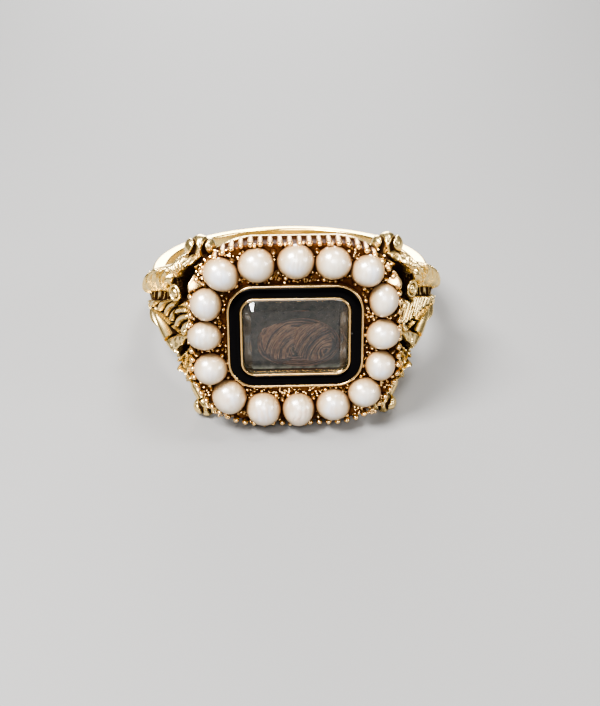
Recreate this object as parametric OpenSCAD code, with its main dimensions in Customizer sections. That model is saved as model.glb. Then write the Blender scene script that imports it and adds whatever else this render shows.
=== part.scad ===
// A finger ring with a square head: a bevelled crystal in a black enamel border, ringed by half
// pearls, between cast leaf shoulders with a rolled scroll at each corner. It lies on its side.
// The ring is drawn upright first: the finger's axis is Z, the head faces -Y, and the middle of the
// bore is the origin. lay() then tips it so that it rests, with the middle of its base at the origin.

/* [Hoop] */
// Inside diameter of the hoop
bore_d = 17.2; // [16.6:0.1:17.8]
// Thickness of the hoop at its thickest
hoop_t = 1.15; // [1:0.05:1.4]
// Width of the hoop along the finger
hoop_w = 2.35; // [2:0.05:2.8]
// Radius that rounds the hoop's outside across its width
hoop_crown_r = 2.2; // [1.8:0.1:4]

/* [Head] */
// Width of the head across the finger
head_w = 12.95; // [12.8:0.05:13.1]
// Height of the head along the finger
head_h = 12.0; // [11.9:0.05:12.05]
// Corner radius of the head
head_corner_r = 4.1; // [4:0.05:4.2]
// Distance from the middle of the bore to the seat of the pearls
seat_y = 10.46; // [10.4:0.02:10.6]
// Depth of each tier of the head's side wall behind the seat
tier_depth = 0.53; // [0.45:0.01:0.54]
// How much each tier draws in from the one in front
tier_step = 0.19; // [0.16:0.01:0.22]
// Number of ribs round the side wall
rib_count = 72; // [56:4:80]
// How far the ribs stand out
rib_out = 0.1; // [0.06:0.01:0.12]
// Radius of the gold grains that hold the pearls
grain_r = 0.13; // [0.1:0.01:0.15]

/* [Enamel and crystal] */
// Width of the outer gold rim
rim_w = 8.3; // [8.2:0.02:8.4]
// Height of the outer gold rim
rim_h = 6.62; // [6.5:0.02:6.7]
// Corner radius of the outer gold rim
rim_corner_r = 1.7; // [1.5:0.1:2]
// Thickness of each gold rim
rim_t = 0.13; // [0.1:0.01:0.15]
// Width of the enamel band between the rims
enamel_w = 0.66; // [0.6:0.02:0.7]
// Height of the rims above the seat of the pearls
rim_rise = 0.42; // [0.36:0.02:0.5]
// Height of the crystal's table above the rims
crystal_rise = 0.42; // [0.3:0.02:0.6]
// Width of the crystal's bevels
bevel_w = 0.5; // [0.4:0.02:0.6]

/* [Shoulders] */
// Radius of each corner scroll
scroll_r = 0.74; // [0.7:0.01:0.8]
// Place of a corner scroll across the finger
scroll_x = 5.65; // [5.5:0.05:5.8]
// Place of a corner scroll in front of the middle of the bore
scroll_y = 9.0; // [8.8:0.05:9.2]
// Place of a corner scroll along the finger
scroll_z = 5.22; // [5.16:0.02:5.3]
// Depth of the leaf's veins
vein_depth = 0.16; // [0.08:0.02:0.2]

/* [Hidden] */
// Clearance between the gold and what is set in it
fit = 0.04;
bore_r = bore_d / 2;
hoop_r = bore_r + hoop_t;
// The castings stand this much off the finger, so the hoop alone touches it
relief_gap = 0.25;

// The well that holds the crystal and the hair, inside the inner rim
well_w = rim_w - 2 * (2 * rim_t + enamel_w);
well_h = rim_h - 2 * (2 * rim_t + enamel_w);
well_corner_r = rim_corner_r - 2 * rim_t - enamel_w;
well_depth = 0.6;
// Heights from the seat of the pearls: the enamel channel's floor, the crystal's underside and the hair's backing
channel_h = 0.06;
crystal_base_h = -0.12;
panel_h = -0.42;
curl_r = 1.3;
curl_h = 0.22;

// The pearls: middle across the finger, middle along it, radius, going round from above left
PX = 0;
PZ = 1;
PR = 2;
PEARLS = [
    [-4.42, 4.00, 1.05], [-2.30, 4.54, 1.08], [0.06, 4.73, 1.10], [2.34, 4.62, 1.02], [4.34, 4.07, 1.00],
    [5.36, 2.21, 1.00], [5.35, 0.00, 1.04], [5.23, -2.07, 0.97],
    [4.27, -3.86, 1.00], [2.33, -4.66, 1.04], [0.16, -4.94, 1.05], [-2.03, -4.87, 1.08], [-4.14, -3.99, 1.10],
    [-5.23, -2.09, 1.03], [-5.53, 0.10, 0.99], [-5.39, 2.13, 0.99]
];
pearl_lift = 0.12;

// Leaf lobes: angle from the head, place along the finger, radius from the bore's middle, own radius.
// A lobe's own radius is less than its distance from the finger, so none reaches into the bore.
LA = 0;
LZ = 1;
LR = 2;
LOWN = 3;
UPPER_LOBES = [
    [71, 1.45, 9.40, 0.55],
    [62.5, 2.20, 9.52, 0.66],
    [55, 2.75, 9.70, 0.83],
    [46, 2.05, 10.55, 0.40],
    [48, 3.05, 10.10, 0.80],
    [42, 3.75, 10.30, 0.65]
];
LOWER_LOBES = [
    [71, -0.85, 9.40, 0.55],
    [62.5, -0.95, 9.52, 0.66],
    [55, -1.45, 9.70, 0.83],
    [48, -2.05, 10.10, 0.80],
    [42, -3.00, 10.35, 0.75]
];

// How far a scroll's neck stands inside the scroll, across the finger and along it
neck_in = 0.65;

// The leaf runs back from the head between these two angles
leaf_a0 = 29;
leaf_a1 = 87;
leaf_steps = 36;
leaf_rows = 8;

// The ring tips about the far edge of the hoop until its lower scrolls touch the surface
hoop_edge_r = crown(hoop_w / 2);
reach_y = hoop_edge_r + scroll_y;
reach_z = scroll_z - hoop_w / 2;
tilt = atan2(reach_z, reach_y) + asin(scroll_r / norm([reach_y, reach_z]));
base_z = -hoop_edge_r * sin(tilt) - hoop_w / 2 * cos(tilt);
back_y = hoop_r * cos(tilt);
front_y = -(seat_y + pearl_lift) * cos(tilt) + PEARLS[10][PZ] * sin(tilt) - PEARLS[10][PR];

// Puts the upright ring down on its side
module lay() translate([0, -(back_y + front_y) / 2, -base_z]) rotate([-tilt, 0, 0]) children();

// Stands a flat outline of the face up, from depth `from` to depth `to` in front of the seat
module face(from, to) translate([0, -seat_y - from, 0]) rotate([90, 0, 0]) linear_extrude(to - from) children();

// Turns a place on the hoop's outside to the front: angle, radius, height
module round_to(a, r, z) rotate([0, 0, a]) translate([0, -r, z]) children();

module both_sides() {
    children();
    mirror([1, 0, 0]) children();
}

// A rectangle of half sizes a and b with round corners of radius c, made of true arcs
module rounded(a, b, c) {
    square([2 * a, 2 * (b - c)], center = true);
    square([2 * (a - c), 2 * b], center = true);
    for (x = [-1, 1], y = [-1, 1]) translate([x * (a - c), y * (b - c)]) circle(c, $fn = 48);
}

module band(a, b, c, t) difference() {
    rounded(a, b, c);
    rounded(a - t, b - t, c - t);
}

// Point and direction outwards at length s along a rounded rectangle, from the middle of its right side
function half_outline(s, a, b, c) = let (sx = a - c, sz = b - c, q = PI * c / 2)
    s < sz ? [a, s, 0] :
    s < sz + q ? let (g = (s - sz) / c * 180 / PI) [sx + c * cos(g), sz + c * sin(g), g] :
    s < sz + q + 2 * sx ? [sx - (s - sz - q), b, 90] :
    s < sz + 2 * q + 2 * sx ? let (g = 90 + (s - sz - q - 2 * sx) / c * 180 / PI)
        [-sx + c * cos(g), sz + c * sin(g), g] :
    [-a, sz - (s - sz - 2 * q - 2 * sx), 180];
function half_length(a, b, c) = 2 * (a - c) + 2 * (b - c) + PI * c;
function outline(t, a, b, c) = let (h = half_length(a, b, c), s = t * 2 * h)
    s < h ? half_outline(s, a, b, c) : let (p = half_outline(s - h, a, b, c)) [-p[0], -p[1], p[2] + 180];

// A closed skin through equal rings of points, each end closed round its middle
function middle(ring) = [for (c = [0 : 2]) [for (p = ring) p[c]] * [for (p = ring) 1] / len(ring)];
module loft(rings) {
    n = len(rings[0]);
    m = len(rings);
    polyhedron(
        points = concat([for (ring = rings) each ring], [middle(rings[0]), middle(rings[m - 1])]),
        faces = [
            for (i = [0 : n - 1]) let (j = (i + 1) % n) each concat(
                [[m * n, i, j], [m * n + 1, (m - 1) * n + j, (m - 1) * n + i]],
                [for (k = [0 : m - 2]) let (a = k * n) each [[a + i, a + n + i, a + n + j], [a + i, a + n + j, a + j]]]
            )
        ]
    );
}

// The hoop: flat inside, its outside rounded in conical bands
function crown(z) = hoop_r - hoop_crown_r + sqrt(pow(hoop_crown_r, 2) - pow(z, 2));
module hoop() rotate_extrude($fn = 180) polygon(concat(
    [[bore_r, hoop_w / 2], [bore_r, -hoop_w / 2]],
    [for (k = [-3 : 3]) [crown(k * hoop_w / 6), k * hoop_w / 6]]
));

// The head's side wall: ribbed tiers that draw in towards the finger
function ribbed(shrink) = [
    for (k = [0 : rib_count - 1], c = [0 : 3])
        let (
            p = outline((k + [0, 0.12, 0.5, 0.62][c]) / rib_count, head_w / 2 - shrink, head_h / 2 - shrink,
                head_corner_r - shrink),
            d = c == 1 || c == 2 ? rib_out : 0
        )
        [p[0] + d * cos(p[2]), p[1] + d * sin(p[2])]
];
module side_wall() for (k = [0 : 2]) face(-tier_depth * (k + 1), -tier_depth * k) polygon(ribbed(k * tier_step));

// Grains round the outside of each pearl, two beside its outermost point and one in the gap to the next
module grains() for (i = [0 : len(PEARLS) - 1])
    let (p = PEARLS[i], q = PEARLS[(i + 1) % len(PEARLS)], g = atan2(p[PZ] * 1.1, p[PX]), reach = p[PR] + fit + grain_r)
    {
        for (t = [-24, 24]) grain(p[PX] + reach * cos(g + t), p[PZ] + reach * sin(g + t));
        let (m = [p[PX] + q[PX], p[PZ] + q[PZ]] / 2) grain(m[0] * 1.16, m[1] * 1.16);
    }
module grain(x, z) translate([x, -seat_y, z]) sphere(grain_r, $fn = 24);

// The raised bed of the enamel and crystal: two rims with a channel between them
module collet() {
    face(-0.3, channel_h) rounded(rim_w / 2, rim_h / 2, rim_corner_r);
    face(0, rim_rise) band(rim_w / 2, rim_h / 2, rim_corner_r, rim_t);
    face(0, rim_rise) band(rim_w / 2 - rim_t - enamel_w, rim_h / 2 - rim_t - enamel_w,
        rim_corner_r - rim_t - enamel_w, rim_t);
}

// The leaf: its outside falls from the head to the hoop, veined inside a wedge that opens to the head
function leaf_base(a) = min(hoop_r + 0.1 + 2.6 * pow(max(70 - a, 0) / 40, 2.1), (seat_y - 0.3) / cos(a));
function leaf_half(a) = a > 66 ? 0.8 + 1.45 * pow((leaf_a1 - a) / (leaf_a1 - 66), 1.2) : 2.25 + 0.5 * (66 - a) / 37;
function wedge(a) = 1.8 * pow(max(69 - a, 0) / 33, 0.85);
function vein(a, z) = vein_depth * cos(360 * (a + 3 * z) / 4.2);
function inside(z, h) = min(max((h - abs(z)) / 0.25, 0), 1);
function leaf_r(a, z) = let (w = leaf_half(a), k = inside(z, wedge(a)))
    leaf_base(a) - 0.5 * pow(abs(z) / w, 4) + k * (0.12 + vein(a, z));
function leaf_ring(a) = let (w = leaf_half(a))
    concat(
        [for (i = [0 : leaf_rows]) let (z = w * (2 * i / leaf_rows - 1), r = leaf_r(a, z))
            [r * sin(a), -r * cos(a), z]],
        [for (z = [w, -w]) let (r = bore_r + relief_gap) [r * sin(a), -r * cos(a), z]]
    );
module leaf() loft([for (i = [0 : leaf_steps]) leaf_ring(leaf_a1 + (leaf_a0 - leaf_a1) * i / leaf_steps)]);

module lobe(row) round_to(row[LA], row[LR], row[LZ]) sphere(row[LOWN], $fn = 48);

// A leaf tip rolled over on itself: three balls side by side
module scroll() for (s = [[-0.6, 0.82], [0, 1], [0.58, 0.78]])
    translate([s[0], 0, 0]) sphere(scroll_r * s[1], $fn = 48);

// The lobes of both leaves, and the four scrolls, each with the neck that joins it to the head's side wall
module lobes() both_sides() {
    for (row = concat(UPPER_LOBES, LOWER_LOBES)) lobe(row);
    for (k = [-1, 1]) {
        translate([scroll_x, -scroll_y, k * scroll_z]) scroll();
        translate([scroll_x - neck_in, -scroll_y - 0.15, k * (scroll_z - neck_in)]) sphere(scroll_r, $fn = 48);
    }
}

module gold_ring() color("gold") lay() difference() {
    union() {
        union() {
            hoop();
            both_sides() leaf();
            side_wall();
        }
        lobes();
        collet();
        grains();
    }
    face(-well_depth, 1) rounded(well_w / 2, well_h / 2, well_corner_r);
}

module pearl(i) color("ivory") lay()
    translate([PEARLS[i][PX], -seat_y, PEARLS[i][PZ]]) rotate([90, 0, 0]) rotate_extrude($fn = 96) intersection() {
        translate([0, pearl_lift]) circle(PEARLS[i][PR], $fn = 96);
        translate([0, fit]) square(2 * PEARLS[i][PR]);
    }

module enamel_border() color("black") lay()
    face(channel_h + fit, rim_rise - 0.02)
        band(rim_w / 2 - rim_t - fit, rim_h / 2 - rim_t - fit, rim_corner_r - rim_t - fit, enamel_w - 2 * fit);

// One outline of the crystal: a rectangle whose corners are cut in three
function cut_ring(h, a, b, c) = [
    for (k = [0 : 3], g = [0 : 30 : 90])
        [[1, -1, -1, 1][k] * (a - c) + c * cos(g + 90 * k), -seat_y - h, [1, 1, -1, -1][k] * (b - c) + c * sin(g + 90 * k)]
];
module crystal() color("lightblue") lay() let (a = well_w / 2 - fit, b = well_h / 2 - fit, c = well_corner_r - fit) loft([
    cut_ring(crystal_base_h, a, b, c),
    cut_ring(rim_rise - 0.08, a, b, c),
    cut_ring(rim_rise + crystal_rise, a - bevel_w, b - bevel_w, 0.14)
]);

// The hair: a thin backing with two low round curls that overlap in the middle
module curl(x, z) let (r = (pow(curl_r, 2) + pow(curl_h, 2)) / (2 * curl_h)) intersection() {
    translate([x, -seat_y - panel_h - curl_h + r, z]) sphere(r, $fn = 96);
    face(panel_h - 0.05, panel_h + curl_h) square([2 * well_w, 2 * well_h], center = true);
}
module hair_panel() color("saddlebrown") lay() {
    face(fit - well_depth, panel_h) rounded(well_w / 2 - fit, well_h / 2 - fit, well_corner_r - fit);
    curl(-0.95, 0.05);
    curl(1.0, -0.1);
}

gold_ring();
for (i = [1 : len(PEARLS)]) pearl(i - 1);
enamel_border();
crystal();
hair_panel();
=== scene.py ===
import logging
import math
from collections.abc import Sequence
from dataclasses import dataclass
from enum import Enum
from typing import NamedTuple

import bpy
import numpy as np
from mathutils import Matrix, Vector
from mathutils.bvhtree import BVHTree


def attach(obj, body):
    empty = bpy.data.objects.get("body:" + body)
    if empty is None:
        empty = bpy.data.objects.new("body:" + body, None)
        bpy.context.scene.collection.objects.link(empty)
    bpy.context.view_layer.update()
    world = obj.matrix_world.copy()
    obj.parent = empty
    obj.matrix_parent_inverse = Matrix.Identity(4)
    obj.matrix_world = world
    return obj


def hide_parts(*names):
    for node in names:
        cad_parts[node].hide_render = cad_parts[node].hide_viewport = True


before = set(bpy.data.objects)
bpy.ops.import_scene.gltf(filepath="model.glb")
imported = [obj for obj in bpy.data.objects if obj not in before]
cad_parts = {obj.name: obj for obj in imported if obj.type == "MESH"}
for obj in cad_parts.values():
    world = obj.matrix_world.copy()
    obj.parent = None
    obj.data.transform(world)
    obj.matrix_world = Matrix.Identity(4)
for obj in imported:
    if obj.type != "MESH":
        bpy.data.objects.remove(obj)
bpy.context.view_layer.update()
LOG = logging.getLogger("mourning_ring")

# Every mesh is modelled in millimetres with the ring upright: the finger's axis is Z, the head faces -Y
# and the middle of the bore is the origin. Pose.lay then puts it on its side, in metres.
MM = 0.001

Colour = tuple[float, float, float]
Point = tuple[float, float, float]
Socket = bpy.types.NodeSocket


class Slot(Enum):
    """The record's material slots."""

    GOLD = "gold"
    PEARL = "pearl"
    ENAMEL = "enamel"
    CRYSTAL = "crystal"
    HAIR = "hair"


class Side(Enum):
    """The ring's sides, seen from in front of the head."""

    LEFT = -1
    RIGHT = 1


class Level(Enum):
    """The head's lower and upper edge."""

    LOW = -1
    HIGH = 1


class Rounded(NamedTuple):
    """A rectangle with round corners: half its width, half its height and the radius of its corners."""

    a: float
    b: float
    c: float

    def inside(self, distance: float) -> "Rounded":
        """The outline that runs at a distance inside this one."""
        return Rounded(self.a - distance, self.b - distance, self.c - distance)

    def point(self, t: float) -> tuple[Vector, float]:
        """A place on the outline.

        Args:
            t: share of the way round, from the middle of the right side.

        Returns:
            The point, and the angle of the direction outwards.
        """
        across, up, corner = self.a - self.c, self.b - self.c, math.pi * self.c / 2
        half = 2 * (across + up + corner)
        turn, s = divmod(t % 1.0 * 2 * half, half)
        if s < up:
            p, angle = Vector((self.a, s)), 0.0
        elif s < up + corner:
            angle = (s - up) / self.c
            p = Vector((across + self.c * math.cos(angle), up + self.c * math.sin(angle)))
        elif s < up + corner + 2 * across:
            p, angle = Vector((across - (s - up - corner), self.b)), math.pi / 2
        elif s < up + 2 * corner + 2 * across:
            angle = math.pi / 2 + (s - up - corner - 2 * across) / self.c
            p = Vector((-across + self.c * math.cos(angle), up + self.c * math.sin(angle)))
        else:
            p, angle = Vector((-self.a, half - s)), math.pi
        return (-p, angle + math.pi) if turn else (p, angle)


class PearlRow(NamedTuple):
    """One half pearl: its place on the head, its radius and what sets it apart from the others."""

    x: float
    z: float
    r: float
    stretch: float
    turn: float
    blush: float
    grain: float


PEARLS = (
    PearlRow(-4.42, 4.00, 1.07, 1.06, -38, 0.30, 0.3),
    PearlRow(-2.30, 4.54, 1.09, 1.01, 0, 0.35, 0.3),
    PearlRow(0.06, 4.73, 1.10, 1.01, 30, 0.10, 0.6),
    PearlRow(2.29, 4.62, 1.07, 1.04, 10, 0.20, 0.4),
    PearlRow(4.36, 4.08, 1.02, 1.04, 20, 0.15, 0.5),
    PearlRow(5.36, 2.21, 0.98, 0.93, 0, 0.35, 0.3),
    PearlRow(5.35, 0.00, 1.00, 1.04, 0, 0.80, 0.3),
    PearlRow(5.23, -2.07, 0.96, 0.98, 0, 0.55, 0.4),
    PearlRow(4.27, -3.86, 1.01, 1.03, 10, 0.45, 0.4),
    PearlRow(2.33, -4.66, 1.06, 1.02, 20, 0.40, 0.5),
    PearlRow(0.16, -4.94, 1.05, 0.98, 0, 0.90, 1.0),
    PearlRow(-2.03, -4.87, 1.10, 1.00, 85, 0.50, 0.9),
    PearlRow(-4.14, -3.99, 1.10, 1.01, 100, 0.60, 0.6),
    PearlRow(-5.23, -2.09, 1.03, 1.01, 0, 0.30, 0.4),
    PearlRow(-5.53, 0.10, 0.98, 1.06, 0, 0.05, 1.0),
    PearlRow(-5.39, 2.13, 1.00, 0.97, 0, 0.35, 0.4),
)
LOWEST_PEARL = PEARLS[10]


@dataclass(frozen=True)
class Sizes:
    """The ring's driving sizes in millimetres, the same as the solids have."""

    bore_r: float = 8.6
    hoop_t: float = 1.15
    hoop_w: float = 2.35
    crown_r: float = 2.2
    head: Rounded = Rounded(6.475, 6.0, 4.1)
    seat_y: float = 10.46
    rim: Rounded = Rounded(4.15, 3.31, 1.7)
    rim_t: float = 0.13
    enamel_w: float = 0.66
    rim_rise: float = 0.42
    well_depth: float = 0.6
    scroll_r: float = 0.74
    scroll_x: float = 5.65
    scroll_y: float = 9.0
    scroll_z: float = 5.22
    pearl_lift: float = 0.12

    @property
    def hoop_r(self) -> float:
        """Outside radius of the hoop."""
        return self.bore_r + self.hoop_t

    @property
    def well(self) -> Rounded:
        """Outline of the well under the crystal."""
        return self.rim.inside(2 * self.rim_t + self.enamel_w)


SIZES = Sizes()


class Pose:
    """Where the upright ring comes to lie, worked out from what it rests on."""

    @staticmethod
    def lay() -> Matrix:
        """Lays the ring on the hoop's edge and the two lower scrolls.

        Returns:
            The way from millimetres with the ring upright to metres with it on its side.
        """
        s = SIZES
        edge_r = s.hoop_r - s.crown_r + math.sqrt(s.crown_r**2 - (s.hoop_w / 2) ** 2)
        reach = Vector((edge_r + s.scroll_y, s.scroll_z - s.hoop_w / 2))
        tilt = math.atan2(reach.y, reach.x) + math.asin(s.scroll_r / reach.length)
        base_z = -edge_r * math.sin(tilt) - s.hoop_w / 2 * math.cos(tilt)
        back = s.hoop_r * math.cos(tilt)
        low = LOWEST_PEARL
        front = -(s.seat_y + s.pearl_lift) * math.cos(tilt) + low.z * math.sin(tilt) - low.r
        place = Matrix.Translation((0, -(back + front) / 2, -base_z))
        return Matrix.Scale(MM, 4) @ place @ Matrix.Rotation(-tilt, 4, "X")

    @staticmethod
    def face(x: float = 0.0, z: float = 0.0, h: float = 0.0) -> Matrix:
        """Stands work that lies flat, with Z up, on the head: x across, z along the finger, h in front."""
        return Matrix.Translation((x, -SIZES.seat_y - h, z)) @ Matrix.Rotation(math.pi / 2, 4, "X")


class Bench:
    """Small steps of modelling with Blender's own operators."""

    @staticmethod
    def clear() -> None:
        """Goes to object mode with nothing selected, the carried-over nodes included."""
        if bpy.context.object and bpy.context.object.mode != "OBJECT":
            bpy.ops.object.mode_set(mode="OBJECT")
        bpy.ops.object.select_all(action="DESELECT")

    @staticmethod
    def pick(*objects: bpy.types.Object) -> None:
        """Selects objects alone and makes the first one active.

        Args:
            objects: what the next operator acts on.
        """
        Bench.clear()
        for o in objects:
            o.select_set(True)
        bpy.context.view_layer.objects.active = objects[0]

    @staticmethod
    def edit(o: bpy.types.Object, mode: str = "FACE") -> None:
        """Opens one object in edit mode with all of it selected.

        Args:
            o: the mesh object.
            mode: VERT, EDGE or FACE.
        """
        Bench.pick(o)
        bpy.ops.object.mode_set(mode="EDIT")
        bpy.ops.mesh.select_mode(type=mode)
        bpy.ops.mesh.select_all(action="SELECT")

    @staticmethod
    def resize(o: bpy.types.Object, value: Point, middle: Point = (0, 0, 0)) -> None:
        """Stretches a mesh about a point.

        Args:
            o: the mesh object.
            value: how much, along each axis.
            middle: the point that stays.
        """
        Bench.edit(o, "VERT")
        bpy.ops.transform.resize(value=value, center_override=middle)
        Bench.clear()

    @staticmethod
    def modify(o: bpy.types.Object, kind: str, **settings: object) -> None:
        """Adds one modifier and applies it.

        Args:
            o: the mesh object.
            kind: the modifier's type.
            settings: its properties.
        """
        Bench.pick(o)
        bpy.ops.object.modifier_add(type=kind)
        modifier = o.modifiers[-1]
        for key, value in settings.items():
            setattr(modifier, key, value)
        bpy.ops.object.modifier_apply(modifier=modifier.name)

    @staticmethod
    def soften(o: bpy.types.Object, width: float, segments: int = 2, angle: float = 30) -> None:
        """Rounds the edges that are sharper than an angle.

        Args:
            o: the mesh object.
            width: how wide the rounding is.
            segments: faces across it.
            angle: the angle, in degrees.
        """
        limit = math.radians(angle)
        Bench.modify(o, "BEVEL", width=width, segments=segments, limit_method="ANGLE", angle_limit=limit)

    @staticmethod
    def points(o: bpy.types.Object) -> np.ndarray:
        """Reads where an object's vertices are.

        Args:
            o: the mesh object.

        Returns:
            One row for each vertex.
        """
        co = np.empty(len(o.data.vertices) * 3, np.float64)
        o.data.vertices.foreach_get("co", co)
        return co.reshape(-1, 3)

    @staticmethod
    def place_points(o: bpy.types.Object, co: np.ndarray) -> None:
        """Moves every vertex of an object to the row with its number."""
        o.data.vertices.foreach_set("co", np.ascontiguousarray(co, np.float64).ravel())
        o.data.update()

    @staticmethod
    def tag(o: bpy.types.Object, name: str, values: np.ndarray | float) -> None:
        """Keeps one number for each vertex under a name that the finishes read."""
        layer = o.data.attributes.get(name) or o.data.attributes.new(name, "FLOAT", "POINT")
        layer.data.foreach_set("value", np.broadcast_to(np.float32(values), len(o.data.vertices)).copy())

    @staticmethod
    def outward(o: bpy.types.Object, merge: float = 1e-4) -> None:
        """Closes the seams of a mesh and turns its faces outwards.

        Args:
            o: the mesh object.
            merge: how far apart two vertices of a seam may lie.
        """
        Bench.edit(o, "VERT")
        bpy.ops.mesh.remove_doubles(threshold=merge)
        bpy.ops.mesh.normals_make_consistent(inside=False)
        Bench.clear()

    @staticmethod
    def cap(o: bpy.types.Object) -> None:
        """Fills the open end of a shell that is open in edit mode, and turns the shell outwards.

        Args:
            o: the mesh object.
        """
        bpy.ops.mesh.select_mode(type="EDGE")
        bpy.ops.mesh.select_all(action="DESELECT")
        bpy.ops.mesh.select_non_manifold()
        bpy.ops.mesh.edge_face_add()
        Bench.outward(o)

    @staticmethod
    def join(objects: list[bpy.types.Object]) -> bpy.types.Object:
        """Makes one object of several.

        Args:
            objects: the objects, which are used up but for the first.

        Returns:
            The first object, with the meshes of all.
        """
        Bench.pick(*objects)
        if len(objects) > 1:
            bpy.ops.object.join()
        return bpy.context.view_layer.objects.active

    @staticmethod
    def copies(o: bpy.types.Object, places: list[Matrix]) -> bpy.types.Object:
        """Copies one small piece to several places, each copy with its own mesh, as one object.

        Args:
            o: the model, which is used up.
            places: where each copy goes.

        Returns:
            The joined object.
        """
        made = []
        for place in places:
            twin = bpy.data.objects.new(o.name, o.data.copy())
            bpy.context.scene.collection.objects.link(twin)
            twin.data.transform(place)
            made.append(twin)
        bpy.data.objects.remove(o)
        return Bench.join(made)

    @staticmethod
    def ball(r: float, segments: int, rings: int, at: Point = (0, 0, 0)) -> bpy.types.Object:
        """A ball with its place in its mesh.

        Args:
            r: its radius.
            segments: faces round it.
            rings: faces from pole to pole.
            at: its middle.

        Returns:
            The object.
        """
        Bench.clear()
        bpy.ops.mesh.primitive_uv_sphere_add(segments=segments, ring_count=rings, radius=r, location=at)
        bpy.ops.object.transform_apply(location=True)
        return bpy.context.object

    @staticmethod
    def cone(sides: int, foot: float, top: float, depth: float, middle: float) -> bpy.types.Object:
        """A cut cone standing on Z with its place in its mesh.

        Args:
            sides: faces round it.
            foot: radius at its foot.
            top: radius at its top.
            depth: its height.
            middle: height of its middle.

        Returns:
            The object.
        """
        Bench.clear()
        bpy.ops.mesh.primitive_cone_add(
            vertices=sides, radius1=foot, radius2=top, depth=depth, location=(0, 0, middle)
        )
        bpy.ops.object.transform_apply(location=True)
        return bpy.context.object

    @staticmethod
    def plate(shape: Rounded, h: float = 0.0, segments: int = 14) -> bpy.types.Object:
        """A flat plate with round corners: a disc whose quarters are moved apart.

        Args:
            shape: its outline.
            h: height it lies at.
            segments: edges in each corner.

        Returns:
            The object, one face.
        """
        Bench.clear()
        bpy.ops.mesh.primitive_circle_add(vertices=4 * segments, radius=shape.c, fill_type="NGON")
        o = bpy.context.object
        turn = math.pi / (4 * segments)
        o.data.transform(Matrix.Translation((0, 0, h)) @ Matrix.Rotation(turn, 4, "Z"))
        p = Bench.points(o)
        p[:, :2] += np.sign(p[:, :2]) * (shape.a - shape.c, shape.b - shape.c)
        Bench.place_points(o, p)
        return o

    @staticmethod
    def band(shape: Rounded, width: float, low: float, high: float, edge: float) -> bpy.types.Object:
        """A flat strip inside an outline, with softened edges.

        Args:
            shape: its outside.
            width: width of the strip.
            low: height of its underside.
            high: height of its top.
            edge: how far its edges are rounded.

        Returns:
            The object.
        """
        o = Bench.plate(shape, high)
        Bench.edit(o)
        bpy.ops.mesh.inset(thickness=width)
        bpy.ops.mesh.delete(type="FACE")
        Bench.clear()
        Bench.modify(o, "SOLIDIFY", thickness=high - low, offset=-1.0)
        Bench.soften(o, edge, segments=3, angle=50)
        return o

    @staticmethod
    def tubes(
        lines: list[tuple[Sequence, Sequence]], kind: str, resolution: int, r: float
    ) -> bpy.types.Object:
        """Round tubes along some lines, as one mesh.

        Args:
            lines: for each tube its points and its thickness at each point, as a share of r.
            kind: BEZIER for smooth lines or POLY for straight stretches.
            resolution: how round the tubes are.
            r: their radius.

        Returns:
            The mesh object.
        """
        data = bpy.data.curves.new("tubes", "CURVE")
        data.dimensions = "3D"
        data.bevel_depth = r
        data.bevel_resolution = resolution
        data.resolution_u = 8
        data.use_fill_caps = True
        for places, shares in lines:
            line = data.splines.new(kind)
            knots = line.bezier_points if kind == "BEZIER" else line.points
            knots.add(len(places) - 1)
            for knot, place, share in zip(knots, places, shares):
                knot.radius = share
                if kind == "BEZIER":
                    knot.co = place
                    knot.handle_left_type = knot.handle_right_type = "AUTO"
                else:
                    knot.co = (*place, 1)
        o = bpy.data.objects.new("tubes", data)
        bpy.context.scene.collection.objects.link(o)
        Bench.pick(o)
        bpy.ops.object.convert(target="MESH")
        return bpy.context.view_layer.objects.active


class Piece:
    """Finishing of pieces: put in place, dressed, and tied to the frame."""

    smooth_below = math.radians(40)

    @staticmethod
    def finish(
        o: bpy.types.Object, name: str, slot: Slot, dress: bpy.types.Material,
        stands_for: tuple[str, ...] = (),
    ) -> None:
        """Lays a finished mesh in the row's frame and hands it to the frame.

        Args:
            o: the mesh object, in millimetres with the ring upright.
            name: its plain name.
            slot: the record's material slot; not used.
            dress: its material.
            stands_for: the nodes that it replaces.
        """
        Bench.pick(o)
        bpy.ops.object.shade_smooth_by_angle(angle=Piece.smooth_below)
        o.data.transform(Pose.lay())
        o.name = o.data.name = name
        o.data.materials.clear()
        o.data.materials.append(dress)
        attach(o, "root")
        if stands_for:
            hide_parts(*stands_for)
        LOG.info("%s: %d faces", name, len(o.data.polygons))


# Finishes


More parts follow.
